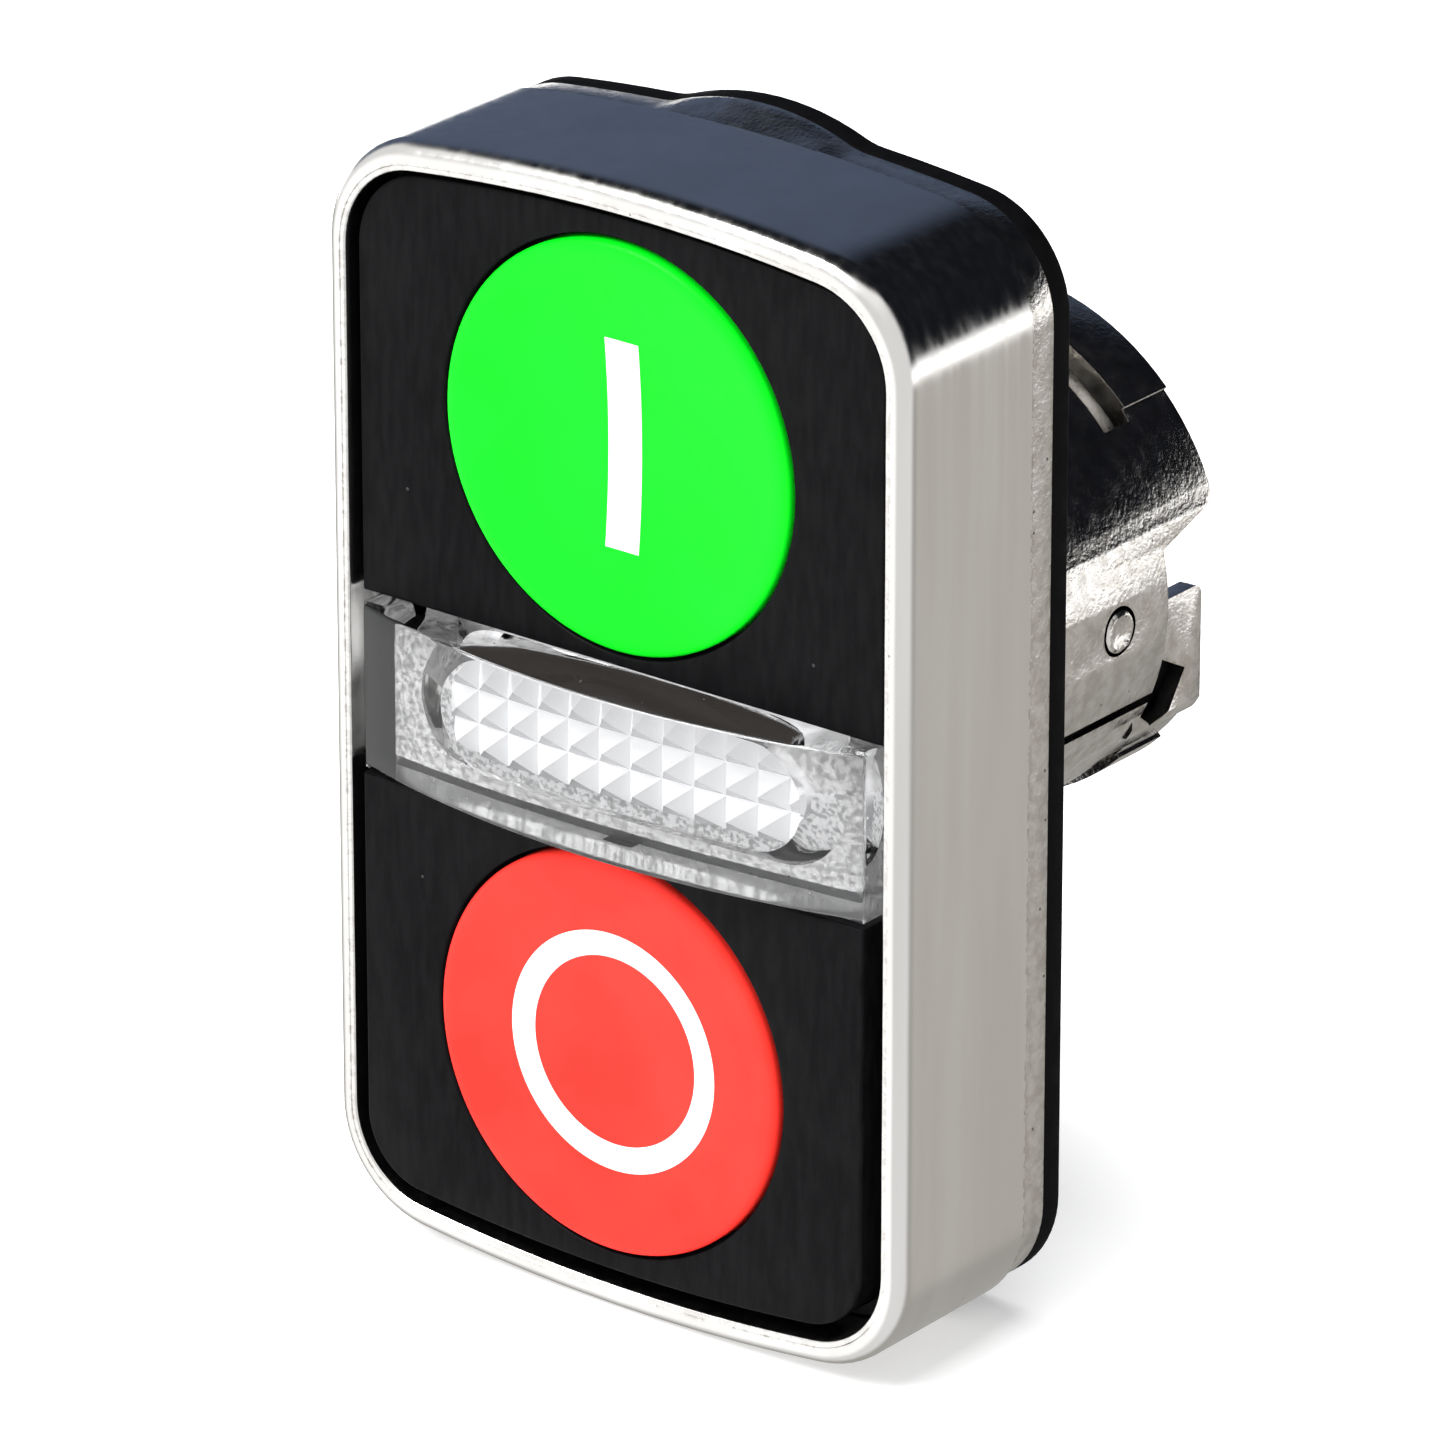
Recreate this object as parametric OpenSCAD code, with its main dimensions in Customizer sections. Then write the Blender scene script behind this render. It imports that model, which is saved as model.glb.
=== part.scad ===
// Double-headed illuminated push-button head for a 22 mm round panel hole.
// The buttons face -Y, the green one is on top (+Z). The origin lies on the tail's axis, in the
// plane of the panel's front face, which is where the gasket's back face seats.

/* [Bezel] */
// Width of the bezel over its side walls
bezel_w = 30; // [29:0.5:36]
// Height of the bezel, crown to crown
bezel_h = 50; // [50:0.5:60]
// Depth of the bezel shell from its front rim to its back edge
bezel_depth = 8.4; // [8.2:0.2:12]
// Thickness of the bezel's wall at the rim
bezel_wall = 1.1; // [0.8:0.1:1.4]
// Corner radius of the bezel's outline
bezel_corner = 5; // [3.5:0.25:7]
// Radius of the bowed top and bottom edges
end_bow_r = 90; // [70:5:200]

/* [Panel side] */
// Thickness of the flange behind the bezel
flange_t = 1.65; // [1.2:0.05:2.5]
// How far the flange and the gasket stand in from the bezel's side
flange_step = 0.25; // [0:0.05:0.4]
// Thickness of the panel gasket
gasket_t = 1.15; // [0.8:0.05:1.6]
// Height of the locating hump on the top edge
hump_h = 0.85; // [0.6:0.05:1.5]
// Width of the locating hump where it meets the edge
hump_w = 9; // [7:0.5:11]
// Radius that blends the hump into the edge
hump_blend = 3; // [1:0.5:5]

/* [Tail] */
// Diameter of the tail that passes through the panel
tail_d = 22; // [20:0.1:22.2]
// Diameter over the raised rear lugs
lug_d = 22.4; // [22.3:0.05:22.5]
// Length of the tail behind the panel face
tail_len = 16.1; // [14:0.1:22]
// Thickness of the tail's wall
tail_wall = 1.65; // [1.4:0.05:1.8]
// Height of the tail's axis above the middle of the bezel
axis_rise = 2; // [1.5:0.1:2.3]
// Width of the lug ring left behind the locking groove
lug_len = 3; // [2:0.1:4]
// Width of the locking groove
groove_w = 1.7; // [1:0.1:2.5]
// Depth of the notches in the tail's end
notch_depth = 3.9; // [2:0.1:4.5]

/* [Buttons] */
// Diameter of both button caps
button_d = 17.7; // [16:0.1:17.8]
// Distance between the two button axes
button_pitch = 26.6; // [26.4:0.1:30]
// How far the pair of buttons is raised above the bezel's middle
pair_rise = 0.2; // [-0.3:0.05:0.3]
// Full travel of each button
travel = 4; // [2.5:0.1:4.2]
// How far the caps stand proud of their surrounds
cap_proud = 0.25; // [0:0.05:0.6]
// Radius of the hollow in the cap faces
dish_r = 45; // [36:1:120]
// Thickness of the cap's crown at its edge
crown_t = 1.5; // [1.3:0.1:1.8]
// Wall of the cap's skirt
skirt_t = 0.9; // [0.6:0.05:1.2]
// Depth of the white inlays where the hollow is deepest
inlay_t = 0.4; // [0.2:0.05:0.45]
// Length and width of the start bar
bar_len = 9.1; // [6:0.1:12]
bar_w = 1.75; // [1:0.05:3]
// Outer and inner radius of the stop ring
ring_r = 5.35; // [4:0.05:6.5]
ring_hole_r = 4.2; // [3:0.05:5.5]

/* [Surrounds] */
// How far the upper surround's face lies behind the rim
upper_setback = 0.5; // [0:0.05:0.8]
// How far the lower surround's face stands in front of the rim
lower_proud = 0.17; // [0:0.01:0.6]
// Gap between the upper surround and the bezel
upper_gap = 0.33; // [0.1:0.01:0.6]
// Gap between the lower surround and the bezel
lower_gap = 0.8; // [0.1:0.05:1]

/* [Lens] */
// Width of the lens block
lens_w = 26.2; // [24:0.1:27]
// Height of the lens block at its back
lens_h = 7.5; // [6:0.1:7.6]
// How far the lens front bows out at its middle
lens_bow = 1.95; // [0.8:0.05:3]
// How far the lens's end corners lie in front of the rim
lens_proud = 0.07; // [0:0.01:1]
// Thickness of the lens at its middle
lens_t = 4.9; // [4:0.1:5]
// Length and height of the prism field
prism_len = 17.8; // [12:0.1:20]
prism_h = 4.4; // [3:0.1:4.6]
// Pitch of the prisms
prism_pitch = 1.5; // [1:0.1:2.2]
// Radius of the light guide rod
guide_r = 2.5; // [1.5:0.1:2.7]

/* [Springs and pushers] */
// Radius of the return springs, to the middle of the wire
spring_r = 3.2; // [2.6:0.1:3.3]
// Wire diameter of the return springs
spring_wire = 0.4; // [0.3:0.05:0.45]
// Working turns of the return springs
spring_turns = 4.5; // [3:0.5:5]
// Thickness of the plate that the springs stand on
spring_plate_t = 0.5; // [0.4:0.05:0.8]
// Width and thickness of the push tongues in the tail
tongue_w = 8; // [5:0.5:9]
tongue_t = 2.5; // [1.5:0.1:2.5]

/* [Hidden] */
$fn = 96;
fine_sides = 360;    // facets of the largest curves

slide_gap = 0.08;    // running gap of the cap's skirt in its sleeve
fit_gap = 0.05;      // gap of pieces that drop into each other
loose_gap = 0.15;    // gap where nothing guides
rest_gap = 0.8;      // what is left under the skirt at full travel
cut = 20;            // reach of a cutting solid past what it cuts

// planes along Y, from the panel forwards
y_gasket = -gasket_t;
y_flange = y_gasket - flange_t;
y_rim = y_flange - bezel_depth;
y_seat = y_flange - spring_plate_t;
y_skirt = y_seat - travel - rest_gap;
y_carrier = y_skirt - 0.1;
seal_h = 0.9;
y_plate = y_carrier - seal_h - 0.1;
y_upper = y_rim + upper_setback;
y_lower = y_rim - lower_proud;
y_lens_front = y_rim - lens_proud - lens_bow;
y_lens_back = y_lens_front + lens_t;
y_holder = y_carrier + 2;

// heights along Z
z_mid = -axis_rise;
z_green = z_mid + pair_rise + button_pitch / 2;
z_red = z_mid + pair_rise - button_pitch / 2;

bore_r = tail_d / 2 - tail_wall;
cap_r = button_d / 2;
sleeve_r = cap_r + slide_gap;
hole_r = sleeve_r + loose_gap;
seal_t = 0.45;       // how far a seal stands into its surround
seal_r = sleeve_r + seal_t;
seal_lip = 0.04;
well_in = 0.85;      // how much wider than the sleeve the carrier's well is
lug_gap = 0.2;
well_r = sleeve_r + well_in;
lug_r = well_r - lug_gap;
lug_t = 0.68;
open_w = bezel_w - 2 * bezel_wall;
open_h = bezel_h - 2 * (bezel_wall + 0.15);
open_corner = bezel_corner - bezel_wall;
tongue_in = bore_r - 0.35 - (bore_r - sqrt(pow(bore_r, 2) - pow(tongue_w / 2, 2))) - tongue_t;
lens_edge = lens_h / 2 + 0.2;
lens_leg = 1.1;      // thickness of the lens's end legs
holder_w = lens_w - 2 * lens_leg;
holder_h = 6.8;
pocket_t = 1.1;      // depth of the recess in the lens's back
prism_base = 0.6;    // plain thickness behind the prisms
prism_tip = 0.2;     // air between the recess and the prism tips
notch_low = -0.6;    // height of the end notch's lower side
tab_x = 9.6;         // flat outer face of the tab beside the notch
tab_t = 0.8;
tab_low = -6.3;
tab_len = 0.4;       // how far the tab reaches past the tail's end
pin_gap = 0.15;      // gap round the pin in the tail's wall
neck = 0.4;          // what the tail is thinner by inside the gasket
lip = 0.1;           // how far joined solids run into each other
hair = 0.02;         // air between neighbours that only just clear
slit_w = 0.5;
slit_start = 0.5;    // where the slit starts behind the gasket
stop_w = 5;          // width of a plunger's stop lugs
spring_room = 0.7;   // air round a spring
sleeve_t = 1.3;      // wall round a seal's seat
back_gap = 0.4;      // least gap round a surround's back
back_wall = 1;       // wall along a surround's back
mouth_d = 0.3;       // depth of the wider mouth of a cap's hole
backing_z = [-8, -3.6];  // heights of the insert's block behind the hook
backing_x = 4.6;     // inner side of that block
pin_depth = 2.4;     // how deep the pin sits in the insert
pin_clear = 0.02;    // air round the pin in the insert
plug = 0.8;          // depth and thickness of the ring that centres the flange in the bezel
z_guide = z_mid + 1;
insert_front = tail_len - 9.8;
insert_len = 5;
pin_r = 0.95;
dish_in = 0.6;       // flat border round the hollow in a cap
dish_depth = dish_r - sqrt(pow(dish_r, 2) - pow(cap_r - dish_in, 2));
inlay_back = min(dish_depth + inlay_t, crown_t - 0.1);
y_pin = insert_front + insert_len / 2;
y_tongue_end = insert_front + insert_len + 0.5;
y_notch = tail_len - notch_depth;
z_slit = -0.39 * tail_d / 2;
groove_floor = 0.8;  // wall left under the locking groove
window_w = tongue_w + 5;
plate_in = 2;        // how far the spring plate stands in from the bezel's opening
edge_bevel = 0.35;

metal = [0.78, 0.77, 0.74];
black = [0.12, 0.12, 0.13];
rubber = [0.05, 0.05, 0.05];
clear = [0.9, 0.93, 0.95, 0.5];
green = [0.1, 0.95, 0.2];
red = [0.95, 0.2, 0.18];

// A flat shape in X and Z, given thickness between two planes along Y
module slab(y0, y1) {
    translate([0, y1, 0]) rotate([90, 0, 0]) linear_extrude(height = y1 - y0) children();
}

module rod(y0, y1, r, z = 0) {
    slab(y0, y1) translate([0, z]) circle(r = r);
}

// Outline with straight sides, bowed ends and corners tangent to both
module barrel(w, h, corner, bow) {
    cx = w / 2 - corner;
    reach = sqrt(pow(bow - corner, 2) - pow(cx, 2));
    cz = h / 2 - bow + reach;
    past = 1.1 * bow / (bow - corner);
    square([w, 2 * cz], center = true);
    for (side = [-1, 1], end = [-1, 1]) translate([side * cx, end * cz]) circle(r = corner);
    for (end = [0, 1]) mirror([0, end]) intersection() {
        translate([0, h / 2 - bow]) circle(r = bow, $fn = fine_sides);
        polygon([
            [-cx, cz - 0.01], [cx, cz - 0.01],
            [cx * past, h / 2 - bow + reach * past], [-cx * past, h / 2 - bow + reach * past]
        ]);
    }
}

// The same outline drawn in by a gap all round, at the bezel's height
module opening(gap) {
    translate([0, z_mid]) barrel(open_w - 2 * gap, open_h - 2 * gap, open_corner - gap, end_bow_r);
}

// Outline of the flange and gasket: the bezel's, drawn in, with a hump blended into its top edge
module base_outline() {
    top = bezel_h / 2 - flange_step;
    hump_r = (pow(hump_w / 2, 2) + pow(hump_h, 2)) / (2 * hump_h);
    hump_z = top + hump_h - hump_r;
    bow_z = top - end_bow_r;
    // the blend circle touches the bowed edge and the hump from outside
    a = end_bow_r + hump_blend;
    b = hump_r + hump_blend;
    d = hump_z - bow_z;
    blend_z = bow_z + (pow(a, 2) - pow(b, 2) + pow(d, 2)) / (2 * d);
    blend_x = sqrt(pow(b, 2) - pow(blend_z - hump_z, 2));
    translate([0, z_mid]) {
        barrel(bezel_w - 2 * flange_step, 2 * top, bezel_corner - flange_step, end_bow_r);
        translate([0, hump_z]) circle(r = hump_r);
        difference() {
            polygon([
                [blend_x * end_bow_r / a, bow_z + (blend_z - bow_z) * end_bow_r / a],
                [blend_x, blend_z],
                [blend_x * hump_r / b, hump_z + (blend_z - hump_z) * hump_r / b],
                [-blend_x * hump_r / b, hump_z + (blend_z - hump_z) * hump_r / b],
                [-blend_x, blend_z],
                [-blend_x * end_bow_r / a, bow_z + (blend_z - bow_z) * end_bow_r / a],
                [0, top - hump_blend]
            ]);
            for (side = [-1, 1]) translate([side * blend_x, blend_z]) circle(r = hump_blend);
        }
    }
}

module stadium(len, h) {
    square([len - h, h], center = true);
    for (side = [-1, 1]) translate([side * (len - h) / 2, 0]) circle(d = h);
}

module bezel_frame() color(metal) slab(y_rim, y_flange) difference() {
    translate([0, z_mid]) barrel(bezel_w, bezel_h, bezel_corner, end_bow_r);
    opening(0);
}

// Angles go round the tail from +X towards +Z
module wedge(from, to) {
    reach = 3 * tail_d;
    polygon([[0, 0], reach * [cos(from), sin(from)],
        reach * [cos((from + to) / 2), sin((from + to) / 2)], reach * [cos(to), sin(to)]]);
}

module tail_ring(y0, y1, r, depth, from, to) slab(y0, y1) intersection() {
    difference() {
        circle(r = r);
        circle(r = r - depth);
    }
    wedge(from, to);
}

// A shape drawn in Y and Z, cut out towards +X
module side_cut() rotate([90, 0, 90]) translate([0, 0, bore_r / 2]) linear_extrude(height = cut) children();

module end_notch() side_cut() polygon([
    [y_notch, notch_low], [y_notch, 2.5], [tail_len + 1, 3.8], [tail_len + 1, notch_low - 0.2]
]);

module hook_notch() side_cut() polygon([
    [y_notch, -2.4], [y_notch + 3.2, -4.1], [y_notch + 2.1, -5.7], [y_notch + 1, -6.1], [y_notch, -5.3]
]);

// Slit between the round wall and the strip that ends in the tab
module side_slit() {
    translate([bore_r - slit_w, slit_start, z_slit - slit_w / 2])
        cube([cut, y_notch + slit_w - slit_start, slit_w]);
}

// Thin flat tab beside the notch, which stops the collar's lever
module side_tab(y0, y1, wide) slab(y0, y1) intersection() {
    circle(r = lug_d / 2);
    translate([tab_x - wide, tab_low]) square([wide, notch_low - tab_low]);
}

module mounting_body() color(metal) {
    y_lug = tail_len - lug_len;
    difference() {
        union() {
            difference() {
                union() {
                    slab(y_flange, y_gasket) base_outline();
                    slab(y_flange - plug, y_flange + 0.1) difference() {
                        opening(fit_gap);
                        opening(fit_gap + plug);
                    }
                    rod(y_gasket - lip, lip, tail_d / 2 - neck);
                    rod(0, tail_len, tail_d / 2);
                    for (turn = [0, 180]) tail_ring(y_lug, tail_len, lug_d / 2, 1, 45 + turn, 135 + turn);
                }
                rod(y_flange - cut, tail_len + cut, bore_r);
                for (turn = [0, 180]) {
                    tail_ring(y_lug - groove_w, y_lug, lug_d, lug_d - bore_r - groove_floor,
                        42 + turn, 138 + turn);
                    rotate([0, turn, 0]) end_notch();
                }
                slab(y_notch, tail_len + cut) translate([0, tab_low])
                    square([cut, notch_low - tab_low]);
            }
            side_tab(y_notch - 0.5, tail_len + tab_len, tab_t);
        }
        hook_notch();
        side_slit();
        translate([bore_r - 1, y_pin, 0]) rotate([0, 90, 0]) cylinder(r = pin_r + pin_gap, h = cut);
    }
}

module panel_gasket() color(rubber) slab(y_gasket, 0) difference() {
    base_outline();
    circle(r = tail_d / 2 + loose_gap);
}

// Each button and the way its tongue lies from it
buttons_z = [z_green, z_red];

module arm_window() translate([-window_w / 2, -bore_r]) square([window_w, 2 * bore_r]);

module carrier_frame() color(black) difference() {
    slab(y_carrier, y_flange) opening(0.1);
    slab(y_carrier - 1, y_flange + 1) {
        for (z = buttons_z) translate([0, z]) circle(r = well_r);
        arm_window();
    }
    slab(y_carrier - 1, y_holder) translate([0, z_mid])
        square([lens_w + 2 * fit_gap, lens_h + 2 * fit_gap], center = true);
    slab(y_seat - fit_gap, y_flange + 1) opening(plate_in - 0.1);
    slab(y_flange - plug - fit_gap, y_flange + 1) difference() {
        opening(-1);
        opening(2 * fit_gap + plug + 0.2);
    }
}

module spring_plate() color(metal) slab(y_seat, y_flange) difference() {
    opening(plate_in);
    square([tongue_w + 1, 2 * (bore_r - 0.2)], center = true);
    translate([-tongue_w / 2 - 0.5, z_red + spring_r + spring_room]) square([tongue_w + 1, button_pitch / 2]);
}

// Sleeve that guides a cap, cut off flat where the lens sits
module surround(z, y_face, gap, end) color(black) difference() {
    intersection() {
        union() {
            slab(y_face, y_plate) opening(gap);
            slab(y_plate - 0.1, y_carrier) difference() {
                opening(max(gap, back_gap));
                opening(max(gap, back_gap) + back_wall);
            }
            slab(y_plate - 0.1, y_carrier) intersection() {
                translate([0, z]) circle(r = seal_r + sleeve_t);
                opening(max(gap, back_gap));
            }
        }
        slab(y_face - cut, y_carrier + cut) mirror([0, (1 - end) / 2])
            translate([-bezel_w, end * z_mid + lens_edge]) square([2 * bezel_w, bezel_h]);
    }
    rod(y_face - cut, y_carrier + cut, sleeve_r, z);
    rod(y_plate, y_carrier + cut, seal_r + fit_gap, z);
    rod(y_face - cut, y_face + mouth_d, hole_r, z);
}

module upper_surround() surround(z_green, y_upper, upper_gap, 1);
module lower_surround() surround(z_red, y_lower, lower_gap, -1);

module seal(z) color(rubber) difference() {
    rod(y_plate + fit_gap, y_carrier, seal_r, z);
    rod(y_plate - 1, y_carrier + 1, cap_r + seal_lip, z);
}

module green_seal() seal(z_green);
module red_seal() seal(z_red);

// Solid of a cap's crown, hollowed in front by a sphere
module crown(z, y_face, y_back) difference() {
    translate([0, y_face, z]) rotate([-90, 0, 0]) union() {
        cylinder(r1 = cap_r - edge_bevel, r2 = cap_r, h = edge_bevel);
        translate([0, 0, edge_bevel]) cylinder(r = cap_r, h = y_back - y_face - edge_bevel);
    }
    translate([0, y_face - dish_r + dish_depth, z]) sphere(r = dish_r, $fn = fine_sides);
}

module cap(z, y_face) difference() {
    crown(z, y_face, y_skirt);
    rod(y_face + crown_t, y_skirt + 1, cap_r - skirt_t, z);
    slab(y_face - 1, y_face + inlay_back) translate([0, z]) children();
}

module inlay(z, y_face) color("white") intersection() {
    crown(z, y_face, y_skirt);
    slab(y_face - 1, y_face + inlay_back) translate([0, z]) children();
}

module bar() square([bar_w, bar_len], center = true);
module ring() difference() {
    circle(r = ring_r);
    circle(r = ring_hole_r);
}

y_green_face = y_upper - cap_proud;
y_red_face = y_lower - cap_proud;
module green_cap() color(green) cap(z_green, y_green_face) bar();
module green_mark() inlay(z_green, y_green_face) bar();
module red_cap() color(red) cap(z_red, y_red_face) ring();
module red_mark() inlay(z_red, y_red_face) ring();

// Ring that snaps into the skirt, with stop lugs and a tongue that runs back through the tail
module plunger(z, y_face, side) color(black) {
    y_in = y_face + crown_t;
    ring_out = cap_r - skirt_t - fit_gap;
    z_tongue = side * (tongue_in + tongue_t / 2);
    difference() {
        union() {
            rod(y_in, y_skirt + hair, ring_out, z);
            slab(y_skirt + hair, y_skirt + hair + lug_t) intersection() {
                translate([0, z]) circle(r = lug_r);
                translate([0, z]) square([2 * lug_r, stop_w], center = true);
            }
            slab(y_skirt + hair, y_skirt + hair + lug_t) translate([0, (z + z_tongue) / 2])
                square([tongue_w, abs(z - z_tongue) + tongue_t], center = true);
        }
        rod(y_in - 1, y_skirt + cut, spring_r + spring_room, z);
        slab(y_in - 1, y_skirt + cut) translate([0, z + side * cut / 2])
            square([tongue_w + 1, cut - 2 * spring_r], center = true);
    }
    slab(y_skirt + hair, y_tongue_end) translate([0, z_tongue])
        square([tongue_w, tongue_t], center = true);
}

module green_plunger() plunger(z_green, y_green_face, 1);
module red_plunger() plunger(z_red, y_red_face, -1);

// Round wire wound on a helix, as rings of points
module spring(z, y0, y1) color(metal) {
    sides = 8;
    per_turn = 18;
    steps = round(spring_turns * per_turn);
    wire_r = spring_wire / 2;
    length = y1 - y0 - spring_wire - 0.1;
    points = [for (i = [0:steps], k = [0:sides - 1])
        let (a = 360 * i / per_turn, b = 360 * k / sides, r = spring_r + wire_r * cos(b))
        [r * cos(a), y0 + 0.05 + wire_r + length * i / steps + wire_r * sin(b), z + r * sin(a)]];
    around = [for (i = [0:steps - 1], k = [0:sides - 1])
        [i * sides + k, i * sides + (k + 1) % sides,
         (i + 1) * sides + (k + 1) % sides, (i + 1) * sides + k]];
    ends = [[for (k = [0:sides - 1]) sides - 1 - k], [for (k = [0:sides - 1]) steps * sides + k]];
    polyhedron(points = points, faces = concat(around, ends));
}

module green_spring() spring(z_green, y_green_face + crown_t, y_seat);
module red_spring() spring(z_red, y_red_face + crown_t, y_seat);

// Lens block: bowed front, straight ends, a tapered pocket and two legs at the back
module lens() color(clear) {
    bow_r = (pow(lens_w / 2, 2) + pow(lens_bow, 2)) / (2 * lens_bow);
    draft = 0.15;
    side = lens_h / 2;
    translate([0, 0, z_mid]) difference() {
        intersection() {
            translate([0, 0, -lens_h]) linear_extrude(height = 2 * lens_h) intersection() {
                translate([0, y_lens_front + bow_r]) circle(r = bow_r, $fn = fine_sides);
                translate([-lens_w / 2, y_lens_front - 1]) square([lens_w, y_holder - y_lens_front + 1]);
            }
            rotate([90, 0, 90]) translate([0, 0, -lens_w]) linear_extrude(height = 2 * lens_w) polygon([
                [y_lens_front, draft - side], [y_rim, -side], [y_holder, -side],
                [y_holder, side], [y_rim, side], [y_lens_front, side - draft]
            ]);
        }
        translate([-holder_w / 2 - fit_gap, y_lens_back, -cut])
            cube([holder_w + 2 * fit_gap, cut, 2 * cut]);
        tapered_stadium(y_lens_back - pocket_t, y_lens_back, prism_h / 2 + 0.1, prism_h / 2 + 0.9);
    }
}

module tapered_stadium(y0, y1, r0, r1) {
    half = (prism_len - prism_h) / 2;
    for (side = [-1, 1]) translate([side * half, y0, 0]) rotate([-90, 0, 0])
        cylinder(r1 = r0, r2 = r1, h = y1 - y0 + 0.001);
    rotate([90, 0, 90]) translate([0, 0, -half]) linear_extrude(height = 2 * half)
        polygon([[y0, -r0], [y0, r0], [y1 + 0.001, r1], [y1 + 0.001, -r1]]);
}

module groove(along) rotate([0, along, 0]) translate([0, 0, -cut]) linear_extrude(height = 2 * cut)
    rotate(45) square(prism_pitch * sqrt(0.5), center = true);

module diffuser() color("white") translate([0, 0, z_mid]) {
    tips = y_lens_back - pocket_t + prism_tip;
    columns = round(prism_len / prism_pitch);
    rows = round(prism_h / prism_pitch);
    difference() {
        slab(tips, y_lens_back + prism_base) stadium(prism_len, prism_h);
        for (i = [-columns / 2:columns / 2]) translate([i * prism_pitch, tips, 0]) groove(0);
        for (i = [-rows / 2:rows / 2]) translate([0, tips, i * prism_pitch]) groove(90);
    }
}

module diffuser_holder() color("gainsboro") difference() {
    slab(y_lens_back + fit_gap, y_holder) translate([0, z_mid])
        square([holder_w, holder_h], center = true);
    slab(y_lens_back - 1, y_lens_back + prism_base + fit_gap) translate([0, z_mid])
        stadium(prism_len + 2 * fit_gap, prism_h + 2 * fit_gap);
    rod(y_lens_back, y_holder + 1, guide_r + fit_gap, z_guide);
}

module light_guide() color(clear)
    rod(y_lens_back + prism_base + 2 * fit_gap, tail_len - 2.2, guide_r, z_guide);

module tail_insert() color(black) difference() {
    union() {
        rod(insert_front, insert_front + insert_len, bore_r - fit_gap);
        slab(insert_front + insert_len - lip, tail_len - 0.9) intersection() {
            circle(r = bore_r - fit_gap);
            translate([backing_x, backing_z[0]]) square([bore_r, backing_z[1] - backing_z[0]]);
        }
    }
    rod(insert_front - 1, tail_len, guide_r + fit_gap, z_guide);
    slab(insert_front - 1, tail_len) for (side = [-1, 1])
        translate([0, side * (tongue_in + tongue_t / 2)])
            square([tongue_w + 0.3, tongue_t + 0.3], center = true);
    translate([bore_r - pin_depth - 0.1, y_pin, 0]) rotate([0, 90, 0]) cylinder(r = pin_r, h = cut);
}

module insert_pin() color(metal) translate([bore_r - pin_depth, y_pin, 0]) rotate([0, 90, 0])
    cylinder(r = pin_r - pin_clear, h = tail_d / 2 - bore_r + pin_depth + 0.1);

bezel_frame();
mounting_body();
panel_gasket();
carrier_frame();
spring_plate();
upper_surround();
lower_surround();
lens();
diffuser();
diffuser_holder();
light_guide();
tail_insert();
insert_pin();
green_cap();
green_mark();
green_plunger();
green_spring();
green_seal();
red_cap();
red_mark();
red_plunger();
red_spring();
red_seal();
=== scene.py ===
import math

import bmesh
import bpy
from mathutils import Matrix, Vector, noise


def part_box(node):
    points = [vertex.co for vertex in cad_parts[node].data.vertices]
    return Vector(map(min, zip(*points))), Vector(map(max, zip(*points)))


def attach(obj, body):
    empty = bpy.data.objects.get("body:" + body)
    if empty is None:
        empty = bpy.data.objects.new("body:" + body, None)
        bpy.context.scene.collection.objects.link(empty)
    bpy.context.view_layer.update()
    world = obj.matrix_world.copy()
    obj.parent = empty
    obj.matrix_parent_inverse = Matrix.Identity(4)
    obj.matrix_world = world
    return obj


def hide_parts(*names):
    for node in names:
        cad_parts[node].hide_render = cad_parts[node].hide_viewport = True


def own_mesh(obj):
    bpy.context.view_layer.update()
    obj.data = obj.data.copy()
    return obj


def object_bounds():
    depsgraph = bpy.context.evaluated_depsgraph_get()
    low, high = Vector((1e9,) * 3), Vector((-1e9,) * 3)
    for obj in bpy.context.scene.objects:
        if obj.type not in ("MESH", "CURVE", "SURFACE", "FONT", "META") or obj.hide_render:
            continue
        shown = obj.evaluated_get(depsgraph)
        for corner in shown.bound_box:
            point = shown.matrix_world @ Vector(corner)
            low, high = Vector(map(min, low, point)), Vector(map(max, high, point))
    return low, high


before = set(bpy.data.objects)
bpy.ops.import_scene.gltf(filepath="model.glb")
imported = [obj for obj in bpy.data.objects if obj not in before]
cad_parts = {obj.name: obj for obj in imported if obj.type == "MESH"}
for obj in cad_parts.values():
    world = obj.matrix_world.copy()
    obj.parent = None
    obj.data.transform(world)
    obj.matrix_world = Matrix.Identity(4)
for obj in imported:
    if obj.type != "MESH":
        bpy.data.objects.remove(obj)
cad_low, cad_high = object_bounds()

# ---- Mounting body -------------------------------------------------------------------------
# The flange and the tail that passes through the panel, one zinc die casting with a bright
# nickel plate. The casting skin shows through the plate, and the edges are rubbed and stained.
mm = 0.001


def add(tree, kind, sockets=(), **settings):
    """Adds a node, and sets or links its sockets."""
    node = tree.nodes.new(kind)
    for name, value in settings.items():
        setattr(node, name, value)
    for name, value in dict(sockets).items():
        socket = node.inputs[name]
        if isinstance(value, bpy.types.NodeSocket):
            tree.links.new(value, socket)
        else:
            socket.default_value = value
    return node


def new_group(name, numbers, outputs):
    """Starts a node group with number inputs, given by their usual values, and its outputs."""
    tree = bpy.data.node_groups.new(name, "ShaderNodeTree")
    for label, usual in numbers.items():
        kind = "NodeSocketVector" if isinstance(usual, tuple) else "NodeSocketFloat"
        tree.interface.new_socket(label, in_out="INPUT", socket_type=kind).default_value = usual
    for label in outputs:
        tree.interface.new_socket(label, in_out="OUTPUT", socket_type="NodeSocketFloat")
    return tree, tree.nodes.new("NodeGroupInput"), tree.nodes.new("NodeGroupOutput")


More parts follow.
